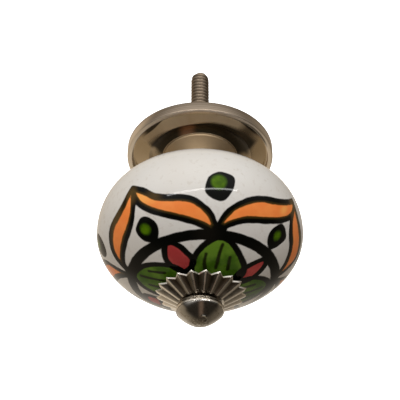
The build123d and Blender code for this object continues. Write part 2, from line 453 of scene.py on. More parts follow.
def ornament(places):
    """The painted fields: how far each place lies outside the ink and outside each colour."""
    names = ("ink", "thin", "petal", "pale", "leaf", "berry", "bud", "vein")
    fields = {name: np.full(len(places), FAR) for name in names}

    def paint(name, gap):
        fields[name] = np.minimum(fields[name], gap)

    ring_gap = np.linalg.norm(places - np.array(RING_CENTRE), axis=1) - RING_R
    paint("ink", np.abs(ring_gap) - RING_WIDTH / 2)
    halves = [
        (places, [UPPER_BERRY, SIDE_BERRY]),
        (np.array(TURN_SHIFT) - places, [UPPER_BERRY, LOW_SIDE_BERRY]),
    ]
    for spot, berries in halves:
        for outer, inner in PETAL_ARMS:
            outer_line, inner_line = painted_line(outer), painted_line(inner)
            paint("ink", stroke_gap(spot, outer_line, OUTLINE))
            paint("ink", stroke_gap(spot, inner_line, OUTLINE))
            paint("petal", area_gap(spot, np.vstack([outer_line, inner_line[::-1], outer_line[:1]])))
        for blot in PALE_PATCHES:
            paint("pale", blot_gap(spot, blot))
        for blot in THIN_INK:
            paint("thin", blot_gap(spot, blot))
        for blot in JUNCTIONS:
            paint("ink", blot_gap(spot, blot))
        for leaf in LEAVES:
            line = painted_line(leaf, closed=True)
            paint("leaf", area_gap(spot, line))
            paint("ink", stroke_gap(spot, line, LEAF_OUTLINE))
        for vein in VEINS:
            paint("vein", stroke_gap(spot, painted_line(vein), VEIN))
        for berry in berries:
            line = painted_line(berry, closed=True)
            paint("berry", area_gap(spot, line))
            paint("ink", stroke_gap(spot, line, BERRY_OUTLINE))
        for outline, heart in DOTS:
            paint("ink", area_gap(spot, painted_line(outline, closed=True)))
            paint("bud", blot_gap(spot, heart))
    return fields


# Colours of the glaze and the paints
GLAZE_WARM = pigment(213, 207, 199)
GLAZE_COOL = pigment(220, 218, 214)
GLAZE_MOTTLE = pigment(208, 202, 194)
GLAZE_SPECK = pigment(150, 112, 80)
ORANGE_DEEP = pigment(241, 134, 66)
ORANGE_LIGHT = pigment(247, 146, 74)
ORANGE_PALE = pigment(250, 178, 92)
LEAF_DEEP = pigment(60, 94, 16)
LEAF_LIGHT = pigment(96, 130, 38)
LEAF_VEIN = pigment(30, 36, 10)
BERRY_DEEP = pigment(166, 56, 56)
BERRY_LIGHT = pigment(186, 77, 73)
BUD_DEEP = pigment(58, 88, 4)
BUD_LIGHT = pigment(80, 114, 8)
INK_BLACK = pigment(7, 8, 5)
INK_ON_ORANGE = pigment(66, 52, 20)
INK_THINNED = pigment(96, 74, 38)

# Painted edges: how far they wander and how soft they are
BRUSH_WANDER = 0.35
FILL_SOFT = 0.15
INK_SOFT = 0.13
VEIN_SOFT = 0.2
PALE_SOFT = 0.7
THIN_SOFT = 0.8
BUD_SOFT = 0.42
INK_SHALLOW = (-0.05, -0.6)     # from the ink's edge to where it is quite black
GLAZE_RIPPLE = 0.02             # depth of the glaze's unevenness

# How much of what lies under it a thin colour covers
SPECK_COVER = 0.5
PALE_COVER = 0.7
THIN_COVER = 0.6


def painted_glaze():
    """Off-white glaze with hand-painted colours, all under one clear gloss."""
    glaze = Finish("painted_glaze", Roughness=0.07, IOR=1.5, Specular_IOR_Level=0.15)
    to_and_fro = glaze.math("SUBTRACT", glaze.noise(per_mm=0.45, detail=2), 0.5)
    wander = glaze.times(to_and_fro, BRUSH_WANDER)

    def cover(name, soft):
        return glaze.fade(glaze.math("ADD", glaze.field(name), wander), soft, -soft)

    white = glaze.mix(glaze.noise(per_mm=0.12, detail=3), GLAZE_WARM, GLAZE_COOL)
    mottle = glaze.patches(per_mm=1.1, detail=2, low=0.55, high=0.75)
    white = glaze.mix(mottle, white, GLAZE_MOTTLE)
    specks = glaze.patches(per_mm=1.9, detail=1, low=0.77, high=0.82)
    white = glaze.mix(glaze.times(specks, SPECK_COVER), white, GLAZE_SPECK)

    brushed = glaze.patches(per_mm=0.35, detail=4, low=0.35, high=0.7)
    orange = glaze.mix(brushed, ORANGE_DEEP, ORANGE_LIGHT)
    orange = glaze.mix(glaze.times(cover("pale", PALE_SOFT), PALE_COVER), orange, ORANGE_PALE)
    dabbed = glaze.patches(per_mm=0.3, detail=3, low=0.35, high=0.65)
    leaf = glaze.mix(dabbed, LEAF_DEEP, LEAF_LIGHT)
    leaf = glaze.mix(cover("vein", VEIN_SOFT), leaf, LEAF_VEIN)
    berry = glaze.mix(dabbed, BERRY_DEEP, BERRY_LIGHT)
    bud = glaze.mix(glaze.patches(per_mm=0.7, detail=2, low=0.3, high=0.7), BUD_DEEP, BUD_LIGHT)

    petal_cover = cover("petal", FILL_SOFT)
    colour = glaze.mix(petal_cover, white, orange)
    colour = glaze.mix(cover("leaf", FILL_SOFT), colour, leaf)
    colour = glaze.mix(cover("berry", FILL_SOFT), colour, berry)

    # Ink is black on the bare glaze and lets some orange through at its edge on a petal
    depth = glaze.fade(glaze.field("ink"), *INK_SHALLOW)
    ink = glaze.mix(glaze.times(petal_cover, glaze.rest(depth)), INK_BLACK, INK_ON_ORANGE)
    ink = glaze.mix(glaze.times(cover("thin", THIN_SOFT), THIN_COVER), ink, INK_THINNED)
    colour = glaze.mix(cover("ink", INK_SOFT), colour, ink)
    colour = glaze.mix(cover("bud", BUD_SOFT), colour, bud)
    glaze.set("Base Color", colour)
    glaze.set("Normal", glaze.bump(glaze.noise(per_mm=0.25, detail=2), GLAZE_RIPPLE, strength=0.25))
    return glaze.material


# Colours of the base
SATIN_DARK = pigment(142, 126, 108)
SATIN_LIGHT = pigment(182, 166, 148)
# Painted highlight on the rim's front face
RIM_FRONT_HIGHLIGHT = pigment(218, 206, 191)
# Painted highlight on the rim's sides
RIM_SIDE_HIGHLIGHT = pigment(244, 234, 219)
POLISH_DARK = pigment(218, 197, 166)
POLISH_LIGHT = pigment(231, 213, 184)
# Painted shade on the apron's sides
APRON_SIDE_SHADE = pigment(172, 153, 126)
# Painted dark reflection in the groove, and a brown blot in it
GROOVE_DARK_REFLECTION = pigment(58, 51, 39)
GROOVE_REFLECTED_BLOT = pigment(136, 103, 78)
# Painted shade on the right of the apron
BROWN_SHADE = pigment(72, 61, 46)
# Painted shade in the rim's foot and along the rim's inner edge
FOOT_SHADE = pigment(40, 35, 25)
RIM_EDGE_SHADE = pigment(60, 52, 40)
BOSS_SATIN = pigment(178, 155, 124)

# Where the base's finishes change, from one place to another. Radius, height over the rod's axis (up) and
# place to the right (across) are millimetres. Side is 0 straight above the axis and 1 level with it.
RIM_RADIUS = (13.7, 13.95)
RIM_HIGHLIGHT_FORWARD = (RIM_HEIGHT - 0.12, RIM_HEIGHT - 0.02)
# Painted highlight on the rim, towards its sides
HIGHLIGHT_SIDES = (0.55, 0.9)
HIGHLIGHT_COVER = 0.6
BACK_TO_FACE = (0.3, 0.7)       # forward of the mounting face
RIGHT_HALF = (3.0, 10.0)

# Painted dark reflection in the groove: it broadens and blurs from its top to both sides, and ends short of
# the level of the rod
GROOVE_DARK_BROADENS = (1.0, 2.4)      # on the left and on the right
GROOVE_DARK_ENDS = (0.91, 0.99)
GROOVE_DARK_DROP = 2.4
GROOVE_DARK_DRIFT_ACROSS = (-5.0, 6.0)
GROOVE_DARK_DRIFT = (-0.75, 1.3)
GROOVE_DARK_BLUR_SIDES = (0.4, 0.9)
GROOVE_DARK_BLUR = (0.32, 0.95)
GROOVE_DARK_INNER = (BOSS_R + 0.02, BOSS_R + 0.15)
GROOVE_DARK_UP = (-1.0, 2.0)
BLOT_ACROSS = -2.6
BLOT_SIZE = (2.2, 0.4)
# Painted shade on the apron towards its sides, heavier on the right
APRON_SHADE_SIDES = (0.5, 0.85)
APRON_SHADE_COVER = (0.75, 1.0)     # on the left and on the right

# Painted shade: a brown patch on the right of the apron
BROWN_SIDE = 0.77
BROWN_SPREAD = (0.15, 0.02)
BROWN_RADIUS = (9.8, 10.6)
BROWN_ACROSS = (2.0, 5.0)
BROWN_UP = (2.0, 5.0)
BROWN_COVER = 0.75

# Painted shade: a dark line in the rim's foot, and along the rim's inner edge
SHOULDER_SIDE = 0.76
SHOULDER_SPREAD = (0.36, 0.0)
FOOT_BROADENS = (1.1, 0.7)      # on the left and on the right
FOOT_RADIUS = (13.5, 13.75)
FOOT_SIDES = (0.92, 0.8)
FOOT_UP = (3.0, 6.0)
FOOT_COVER = 0.92
EDGE_RADIUS = (14.3, 14.05)
EDGE_RIGHT = 0.35
EDGE_SIDES = (0.15, 0.45)
EDGE_COVER = 0.8
BOSS_EDGE = (BOSS_R + 0.1, BOSS_R)

POLISH_ROUGHNESS = 0.14
RIM_ROUGHNESS = 0.34
BOSS_DULLNESS = 0.4
GROOVE_DARK_DULLNESS = 0.3
TURNING_RINGS = 5.0             # to the millimetre
TURNING_DEPTH = 0.004
RING_CONTRAST = (0.36, 0.64)


def base_places(nickel):
    """Where a point of the base lies, in the terms of the values above."""
    x, _, z = nickel.split(nickel.place())
    radius = nickel.radius()
    across = nickel.math("DIVIDE", x, MM)
    side = nickel.math("DIVIDE", nickel.math("ABSOLUTE", across), radius)
    return SimpleNamespace(
        radius=radius, forward=nickel.forward(), across=across, up=nickel.math("DIVIDE", z, MM), side=side,
        right=nickel.fade(across, *RIGHT_HALF),
        shoulder=nickel.fade(nickel.off(side, SHOULDER_SIDE), *SHOULDER_SPREAD),
    )


def groove_dark_reflection(nickel, at):
    """Cover of the painted dark reflection in the groove. It is black across the groove's upper half and
    fades out at both sides.
    """
    cubed = nickel.math("POWER", at.side, 3.0)
    broadens = nickel.times(cubed, nickel.blend(at.right, *GROOVE_DARK_BROADENS))
    drop = nickel.times(nickel.fade(at.side, *GROOVE_DARK_ENDS), GROOVE_DARK_DROP)
    drift = nickel.times(nickel.rest(at.side), nickel.scale(at.across, *GROOVE_DARK_DRIFT_ACROSS, *GROOVE_DARK_DRIFT))
    spread = nickel.math("SUBTRACT", at.radius, nickel.math("SUBTRACT", broadens, drop))
    spread = nickel.math("SUBTRACT", spread, drift)
    blur = nickel.scale(at.side, *GROOVE_DARK_BLUR_SIDES, *GROOVE_DARK_BLUR)
    outer_end = nickel.math("ADD", GROOVE_OUTER_R, blur)
    inner_end = nickel.math("SUBTRACT", GROOVE_OUTER_R, blur)
    inside = nickel.fade(at.radius, *GROOVE_DARK_INNER)
    return nickel.times(nickel.fade(spread, outer_end, inner_end), inside, nickel.fade(at.up, *GROOVE_DARK_UP))


def right_apron_shade(nickel, at):
    """Cover of the painted shade on the right of the apron."""
    round_rod = nickel.fade(nickel.off(at.side, BROWN_SIDE), *BROWN_SPREAD)
    outward = nickel.fade(at.radius, *BROWN_RADIUS)
    across = nickel.fade(at.across, *BROWN_ACROSS)
    return nickel.times(round_rod, outward, across, nickel.fade(at.up, *BROWN_UP), BROWN_COVER)


def foot_shade_line(nickel, at):
    """Cover of the painted shade line in the rim's foot. It broadens on both shoulders."""
    broadens = nickel.times(at.shoulder, nickel.blend(at.right, *FOOT_BROADENS))
    line = nickel.fade(nickel.math("ADD", at.radius, broadens), *FOOT_RADIUS)
    return nickel.times(line, nickel.fade(at.side, *FOOT_SIDES), nickel.fade(at.up, *FOOT_UP), FOOT_COVER)


def rim_edge_shade(nickel, at):
    """Cover of the painted shade line along the rim's inner edge."""
    inner = nickel.math("SUBTRACT", at.radius, nickel.times(at.shoulder, at.right, EDGE_RIGHT))
    edge = nickel.times(nickel.fade(inner, *EDGE_RADIUS), nickel.fade(at.up, *FOOT_UP))
    return nickel.times(edge, nickel.fade(at.side, *EDGE_SIDES), EDGE_COVER)


def turned_nickel():
    """Base: satin turned rim and boss and a polished apron, with painted shade, dark reflections and
    highlights on its front. Its back is plain.
    """
    nickel = Finish("base_nickel", Metallic=1.0)
    at = base_places(nickel)
    face = nickel.fade(at.forward, *BACK_TO_FACE)
    along = {"W": nickel.math("ADD", at.radius, at.forward), "Scale": TURNING_RINGS, "Detail": 3.0}
    rings = nickel.add("ShaderNodeTexNoise", 0, along, noise_dimensions="1D")
    rings = nickel.fade(rings, *RING_CONTRAST)

    plain_satin = nickel.mix(rings, SATIN_DARK, SATIN_LIGHT)
    # Painted highlight: the rim's front face is lighter
    plain_satin = nickel.mix(nickel.fade(at.forward, *RIM_HIGHLIGHT_FORWARD), plain_satin, RIM_FRONT_HIGHLIGHT)
    # Painted highlight on the rim, towards its sides
    sides = nickel.times(nickel.fade(at.side, *HIGHLIGHT_SIDES), HIGHLIGHT_COVER)
    satin = nickel.mix(sides, plain_satin, RIM_SIDE_HIGHLIGHT)
    # Painted shade along the rim's inner edge
    satin = nickel.mix(rim_edge_shade(nickel, at), satin, RIM_EDGE_SHADE)

    plain_polish = nickel.mix(nickel.noise(per_mm=0.3, detail=3), POLISH_DARK, POLISH_LIGHT)
    # Painted shade on the apron towards its sides, heavier on the right
    side_shade = nickel.times(nickel.fade(at.side, *APRON_SHADE_SIDES), nickel.blend(at.right, *APRON_SHADE_COVER))
    polish = nickel.mix(side_shade, plain_polish, APRON_SIDE_SHADE)
    # Painted dark reflection in the groove, with a brown blot in it
    black = groove_dark_reflection(nickel, at)
    blot = nickel.fade(nickel.off(at.across, BLOT_ACROSS), *BLOT_SIZE)
    polish = nickel.mix(black, polish, nickel.mix(blot, GROOVE_DARK_REFLECTION, GROOVE_REFLECTED_BLOT))
    # Painted shade on the right of the apron
    polish = nickel.mix(right_apron_shade(nickel, at), polish, BROWN_SHADE)
    # Painted shade in the rim's foot
    polish = nickel.mix(foot_shade_line(nickel, at), polish, FOOT_SHADE)
    boss = nickel.fade(at.radius, *BOSS_EDGE)
    polish = nickel.mix(boss, polish, BOSS_SATIN)

    rim = nickel.fade(at.radius, *RIM_RADIUS)
    polish = nickel.mix(face, plain_polish, polish)
    satin = nickel.mix(face, plain_satin, satin)
    nickel.set("Base Color", nickel.mix(rim, polish, satin))
    roughness = nickel.blend(rim, POLISH_ROUGHNESS, RIM_ROUGHNESS)
    roughness = nickel.math("ADD", roughness, nickel.times(boss, face, BOSS_DULLNESS))
    nickel.set("Roughness", nickel.math("ADD", roughness, nickel.times(black, face, GROOVE_DARK_DULLNESS)))
    nickel.set("Normal", nickel.bump(nickel.times(rings, rim), TURNING_DEPTH, strength=0.3))
    return nickel.material


# Colours of the rod, the lock nut, the washer and the finial
ROD_DARK = pigment(126, 111, 95)
ROD_LIGHT = pigment(155, 140, 123)
ROD_ROOT = pigment(102, 89, 75)
ZINC_DARK = pigment(178, 174, 166)
ZINC_LIGHT = pigment(206, 202, 194)
FACET_DARK = pigment(216, 209, 198)
FACET_LIGHT = pigment(238, 232, 223)
# Painted shade on the washer's upper half
FACET_UPPER_SHADE = pigment(88, 79, 66)
VALLEY_DARK = pigment(66, 58, 46)
RIDGE_WORN = pigment(236, 229, 218)
CONE_DARK = pigment(160, 155, 147)
CONE_LIGHT = pigment(180, 175, 168)
CONE_MOTTLE = pigment(122, 114, 101)
CONE_POINT = pigment(112, 105, 92)
# Painted shade on the finial's neck, next to the washer
NECK_SHADE = pigment(112, 104, 92)
# The beads are painted lighter than the cone
BEAD_LIGHTER = pigment(212, 203, 190)

# Where those finishes change. On the washer, 0 is the line of a valley and 1 is the line of a ridge.
THREAD_CREST = (1.7, 1.95)
# Painted shade: the washer's facets darken towards its top, where the dark in its folds is heavier too
WASHER_SHADE_UP = (0.0, 6.0)            # height over the rod's axis
WASHER_SHADE_COVER = 0.88
VALLEY_LINE = (0.7, 0.15)
VALLEY_COVER = (0.25, 0.8)      # in the washer's lower half and near its top
RIDGE_LINE = (0.74, 0.92)
RIM_BAND = (0.95, 1.0)
POINT_RADIUS = (2.7, 1.2)
NECK_FORWARD = (FINIAL_BACK + 1.6, FINIAL_BACK + 1.35)
BEAD_RADIUS = (4.35, 4.42)
CONE_MOTTLE_COVER = 0.55
CONE_RIPPLE = 0.02
CLOUD_RANGE = (0.3, 0.7)        # where most of the noise lies
ROD_ROUGHNESS = (0.42, 0.55)
ZINC_ROUGHNESS = (0.28, 0.42)
WASHER_ROUGHNESS = (0.24, 0.38)
CONE_ROUGHNESS = (0.16, 0.36)   # on the cone and round its point


def dull_steel():
    """Threaded rod: dull plating, darker in the thread's root."""
    steel = Finish("rod_steel", Metallic=1.0)
    clouds = steel.noise(per_mm=0.5, detail=4)
    crest = steel.fade(steel.radius(), *THREAD_CREST)
    steel.set("Base Color", steel.mix(crest, ROD_ROOT, steel.mix(clouds, ROD_DARK, ROD_LIGHT)))
    steel.set("Roughness", steel.scale(clouds, *CLOUD_RANGE, *ROD_ROUGHNESS))
    return steel.material


def zinc_steel():
    """Lock nut: plain zinc plating."""
    zinc = Finish("nut_steel", Metallic=1.0)
    clouds = zinc.noise(per_mm=0.8, detail=4)
    zinc.set("Base Color", zinc.mix(clouds, ZINC_DARK, ZINC_LIGHT))
    zinc.set("Roughness", zinc.scale(clouds, *CLOUD_RANGE, *ZINC_ROUGHNESS))
    return zinc.material


def aged_nickel():
    """Petal washer: bright ridges and rim, darkened folds, and painted shade that darkens it towards its
    top.
    """
    aged_shaded = Finish("aged_nickel", Metallic=1.0)
    clouds = aged_shaded.noise(per_mm=0.9, detail=4)
    upper = aged_shaded.fade(aged_shaded.math("DIVIDE", aged_shaded.split(aged_shaded.place())["Z"], MM), *WASHER_SHADE_UP)
    facet = aged_shaded.mix(clouds, FACET_DARK, FACET_LIGHT)
    # Painted shade: the facets darken towards the washer's top, and so do its folds
    facet = aged_shaded.mix(aged_shaded.times(upper, WASHER_SHADE_COVER), facet, FACET_UPPER_SHADE)
    valley = aged_shaded.fade(aged_shaded.field("ridge"), *VALLEY_LINE)
    facet = aged_shaded.mix(aged_shaded.times(valley, aged_shaded.blend(upper, *VALLEY_COVER)), facet, VALLEY_DARK)
    ridge = aged_shaded.fade(aged_shaded.field("ridge"), *RIDGE_LINE)
    worn = aged_shaded.math("MAXIMUM", ridge, aged_shaded.fade(aged_shaded.field("rim"), *RIM_BAND))
    aged_shaded.set("Base Color", aged_shaded.mix(worn, facet, RIDGE_WORN))
    aged_shaded.set("Roughness", aged_shaded.scale(clouds, *CLOUD_RANGE, *WASHER_ROUGHNESS))
    return aged_shaded.material


def polished_nickel():
    """Finial nut: polished, dull and pitted round the point, with painted shade on its neck next to the
    washer.
    """
    polished = Finish("finial_nickel", Metallic=1.0)
    pits = polished.patches(per_mm=3.0, detail=2, low=0.3, high=0.6)
    point = polished.times(polished.fade(polished.radius(), *POINT_RADIUS), pits)
    colour = polished.mix(polished.noise(per_mm=0.7, detail=4), CONE_DARK, CONE_LIGHT)
    mottle = polished.patches(per_mm=1.8, detail=3, low=0.5, high=0.72)
    colour = polished.mix(polished.times(mottle, CONE_MOTTLE_COVER), colour, CONE_MOTTLE)
    # Painted shade on the neck, next to the washer
    neck = polished.fade(polished.forward(), *NECK_FORWARD)
    colour = polished.mix(neck, colour, NECK_SHADE)
    # The beads are painted lighter than the cone
    bead = polished.times(polished.fade(polished.radius(), *BEAD_RADIUS), polished.rest(neck))
    colour = polished.mix(bead, colour, BEAD_LIGHTER)
    polished.set("Base Color", polished.mix(point, colour, CONE_POINT))
    polished.set("Roughness", polished.blend(point, *CONE_ROUGHNESS))
    polished.set("Normal", polished.bump(polished.noise(per_mm=0.35, detail=1), CONE_RIPPLE, strength=0.3))
    return polished.material


# Ceramic body
BODY_STEPS = 440
BODY_BACK_CUTS = 36
BODY_FRONT_CUTS = 140


def make_ceramic_body():
    back_pole = BODY_MIDDLE - BODY_BACK_DEPTH
    front_pole = BODY_MIDDLE + BODY_FRONT_DEPTH
    widest = (BODY_R, BODY_MIDDLE)
    back_handle = (BODY_R * BODY_BACK_FULLNESS, back_pole)
    behind_widest = (BODY_R, BODY_MIDDLE - BODY_BACK_DEPTH * BODY_BACK_FULLNESS)
    back_curve = curve([(0, back_pole), back_handle, behind_widest, widest], BODY_BACK_CUTS)
    ahead_of_widest = (BODY_R, BODY_MIDDLE + BODY_FRONT_DEPTH * BODY_FRONT_FULLNESS)
    front_handle = (BODY_R * BODY_FRONT_FULLNESS, front_pole)
    front_curve = curve([widest, ahead_of_widest, front_handle, (0, front_pole)], BODY_FRONT_CUTS)
    outline = np.array(back_curve + front_curve[1:])
    lengths = np.concatenate([[0], np.cumsum(np.linalg.norm(np.diff(outline, axis=0), axis=1))])
    from_front = lengths[-1] - lengths
    glazed = [(r, min(max(d, BODY_BACK), BODY_FRONT)) for r, d in outline if r > BODY_HOLE_R]
    profile = [(BODY_HOLE_R, BODY_BACK)] + glazed + [(BODY_HOLE_R, BODY_FRONT)]
    bm = turned(profile, BODY_STEPS, closed=True)
    piece = as_piece(bm, "glazed_body", "ceramic_knob", painted_glaze(), sharp=50)

    # Each point's place on the front as if it were laid flat, then its distances to the painted edges
    mesh = piece.data
    coords = np.empty(len(mesh.vertices) * 3)
    mesh.vertices.foreach_get("co", coords)
    x, y, z = coords.reshape(-1, 3).T / MM
    out = np.interp(-y, outline[:, 1], from_front)
    angle = np.arctan2(z, x)
    places = np.stack([out * np.cos(angle), out * np.sin(angle)], axis=1)
    near = out < PAINT_REACH
    for name, gap in ornament(places[near]).items():
        values = np.full(len(places), FAR, np.float32)
        values[near] = gap
        mesh.attributes.new(name, "FLOAT", "POINT").data.foreach_set("value", values)


# Threaded rod
def make_threaded_rod():
    straight_end = ROD_END + ROD_TIP_ROUND
    tip = arc((ROD_R - ROD_TIP_ROUND, straight_end), ROD_TIP_ROUND, 0, -90, ROD_TIP_CUTS)
    count = int((ROD_FRONT - straight_end) / THREAD_PITCH * THREAD_CUTS)
    side = [(ROD_R, ROD_FRONT - (ROD_FRONT - straight_end) * i / count) for i in range(count)]
    bm = turned([(0, ROD_FRONT)] + side + tip + [(0, ROD_END)], ROD_SIDES, closed=False)
    for vert in bm.verts:
        radius = Vector((vert.co.x, vert.co.z)).length / MM
        # The middles of both ends have no thread
        if radius < ROD_R / 2:
            continue
        turn = atan2(vert.co.z, vert.co.x) / tau - vert.co.y / MM / THREAD_PITCH
        cut = THREAD_DEPTH * (0.5 - 0.5 * cos(tau * turn))
        shrink = (radius - cut) / radius
        vert.co.x *= shrink
        vert.co.z *= shrink
    as_piece(bm, "screw_rod", "threaded_rod", dull_steel())


# Base
BASE_STEPS = 192
NECK_CUTS = 14
ROUND_CUTS = 4
INNER_ROUND_CUTS = 3
BACK_EDGE_CUTS = 2


def through(first, middle, last, steps):
    """Points on a smooth curve from first to last that passes through middle."""
    pull = [2 * m - (a + b) / 2 for a, m, b in zip(first, middle, last)]
    handles = [tuple(end + (p - end) * 2 / 3 for end, p in zip(point, pull)) for point in (first, last)]
    return curve([first, handles[0], handles[1], last], steps)


def make_base():
    inner_r = BASE_R - RIM_WIDTH
    boss_edge = APRON_TOP + BOSS_STEP
    groove_middle = ((GROOVE_OUTER_R + BOSS_R) / 2, GROOVE_FLOOR)
    profile = [
        (METAL_HOLE_R, BASE_HEIGHT), (METAL_HOLE_R, NUT_WELL_DEPTH), (NUT_WELL_R, NUT_WELL_DEPTH),
        (NUT_WELL_R, 0), (BASE_R, 0), (BASE_R, RIM_HEIGHT), (inner_r, RIM_HEIGHT), (inner_r, APRON_FOOT),
    ]
    profile += through((GROOVE_OUTER_R, APRON_TOP), groove_middle, (BOSS_R, APRON_TOP), NECK_CUTS)
    profile += [(BOSS_R, boss_edge)]
    seat_edge = (SEAT_R, BASE_HEIGHT - SEAT_BAND)
    profile += through((SHOULDER_R, SHOULDER_TOP), (WAIST_R, WAIST), seat_edge, NECK_CUTS)
    profile += [(SEAT_R, BASE_HEIGHT)]
    bm = turned(profile, BASE_STEPS, closed=True)
    round_ring(bm, BASE_R, RIM_HEIGHT, RIM_ROUND, ROUND_CUTS)
    round_ring(bm, inner_r, RIM_HEIGHT, RIM_INNER_ROUND, INNER_ROUND_CUTS)
    round_ring(bm, inner_r, APRON_FOOT, RIM_FOOT_COVE, ROUND_CUTS)
    round_ring(bm, BASE_R, 0, BACK_EDGE_ROUND, BACK_EDGE_CUTS)
    round_ring(bm, BOSS_R, boss_edge, BOSS_ROUND, ROUND_CUTS)
    as_piece(bm, "turned_base", "base", turned_nickel(), sharp=35)


# Petal washer
FOLD_ANGLE = 180 / FLUTES       # from a ridge to the next valley
RIDGE_CUTS = 4


def fold_index(vert):
    """Which fold a point of the washer lies on: even is a ridge, odd is a valley."""
    angle = degrees(atan2(vert.co.z, vert.co.x)) - PETAL_PHASE
    return round(angle / FOLD_ANGLE) % (2 * FLUTES)


def fold_lean(radius, up):
    """How far forward the folded sheet leans at a point. The hub stays square to the rod."""
    return WASHER_LEAN * up if radius > HUB_R + MERGE else 0


def place_on_fold(vert, index, radius, height):
    angle = radians(PETAL_PHASE + index * FOLD_ANGLE)
    up = radius * sin(angle)
    height += fold_lean(radius, up)
    vert.co = Vector((radius * cos(angle), -(WASHER_BACK + height), up)) * MM


def fold_height(index, radius):
    """Height of a valley or a ridge over the washer's back."""
    if index % 2:
        return VALLEY_TOP - (VALLEY_TOP - PETAL_NOTCH_EDGE) * (radius - HUB_R) / (PETAL_NOTCH_R - HUB_R)
    return RIDGE_TOP - (RIDGE_TOP - PETAL_TIP_EDGE) * (radius - HUB_R) / (PETAL_TIP_R - HUB_R)


def make_petal_washer():
    bm = bmesh.new()
    ring = bmesh.ops.create_circle(bm, cap_ends=False, segments=2 * FLUTES, radius=HUB_R * MM)["verts"]
    for index, vert in enumerate(ring):
        place_on_fold(vert, index, HUB_R, 0)
    back_edges = list(bm.edges)

    def grow(edges, radius_of, height_of):
        grown = bmesh.ops.extrude_edge_only(bm, edges=edges)["geom"]
        for vert in [g for g in grown if isinstance(g, bmesh.types.BMVert)]:
            index = fold_index(vert)
            place_on_fold(vert, index, radius_of(index), height_of(index))
        return [g for g in grown if isinstance(g, bmesh.types.BMEdge)]

    def rim_radius(index):
        return PETAL_NOTCH_R if index % 2 else PETAL_TIP_R

    def rim_height(index):
        return fold_height(index, rim_radius(index))

    def hollow_radius(index):
        drop = fold_height(index, HUB_R) - PETAL_SHEET - HOLLOW_TOP
        return HUB_R + (rim_radius(index) - HUB_R) * drop / (fold_height(index, HUB_R) - rim_height(index))

    # Up the collar, out under the folded sheet, round its rim, in over the folds, then down the hole
    edges = grow(back_edges, lambda i: HUB_R, lambda i: HOLLOW_TOP)
    edges = grow(edges, hollow_radius, lambda i: HOLLOW_TOP)
    edges = grow(edges, rim_radius, lambda i: rim_height(i) - PETAL_SHEET)
    edges = grow(edges, rim_radius, rim_height)
    edges = grow(edges, lambda i: HUB_R, lambda i: fold_height(i, HUB_R))
    edges = grow(edges, lambda i: HUB_R, lambda i: HUB_HEIGHT)
    edges = grow(edges, lambda i: METAL_HOLE_R, lambda i: HUB_HEIGHT)
    edges = grow(edges, lambda i: METAL_HOLE_R, lambda i: 0)
    bmesh.ops.bridge_loops(bm, edges=edges + back_edges)
    bmesh.ops.remove_doubles(bm, verts=bm.verts, dist=MERGE * MM)
    bmesh.ops.recalc_face_normals(bm, faces=bm.faces)

    def on_top(vert):
        out = Vector((vert.co.x, vert.co.z)).length / MM
        height = -vert.co.y / MM - WASHER_BACK - fold_lean(out, vert.co.z / MM)
        return height > fold_height(0, out) - PETAL_SHEET / 2

    ridges = [
        e for e in bm.edges
        if fold_index(e.verts[0]) % 2 == 0 and fold_index(e.verts[0]) == fold_index(e.verts[1])
        and all(on_top(v) for v in e.verts)
    ]
    bmesh.ops.bevel(
        bm, geom=ridges, offset=RIDGE_ROUND * MM, offset_type="OFFSET", segments=RIDGE_CUTS, profile=0.5,
        affect="EDGES", material=-1,
    )
    fold_places = [(v.co.x, v.co.z) for v in bm.verts]
    bmesh.ops.translate(bm, verts=bm.verts, vec=(WASHER_SHIFT * MM, 0, 0))
    piece = as_piece(bm, "fluted_washer", "petal_washer", aged_nickel(), sharp=30)
    # How near each point is to a ridge's line, and whether it lies on the rim
    ridge, rim = [], []
    for x, z in fold_places:
        angle = degrees(atan2(z, x)) - PETAL_PHASE
        share = (angle / FOLD_ANGLE) % 2
        ridge.append(abs(share - 1))
        rim.append(float(Vector((x, z)).length > (PETAL_NOTCH_R - RIDGE_ROUND) * MM))
    piece.data.attributes.new("ridge", "FLOAT", "POINT").data.foreach_set("value", ridge)
    piece.data.attributes.new("rim", "FLOAT", "POINT").data.foreach_set("value", rim)


# Finial nut
FINIAL_STEPS = 144
CONE_CUTS = 64
BEAD_CUTS = 8
SMALL_BEAD_SHOWS = (-88, 50)    # degrees from outward towards forward
BEAD_SHOWS = (-66, 35)
# Waves round each bead, and their turn in radians to the millimetre forward
BEAD_WAVES = ((17, 9), (29, -14))
# A raised curl of metal near the point, seen from the front: x to the right and z up
CURL = [(0.40, 2.15), (0.95, 1.98), (1.25, 1.50), (1.12, 0.88), (0.66, 0.68)]
CURL_WIDTH = 0.34
CURL_HEIGHT = 0.13
BEAD_DENT = 0.022       # how uneven the beads are


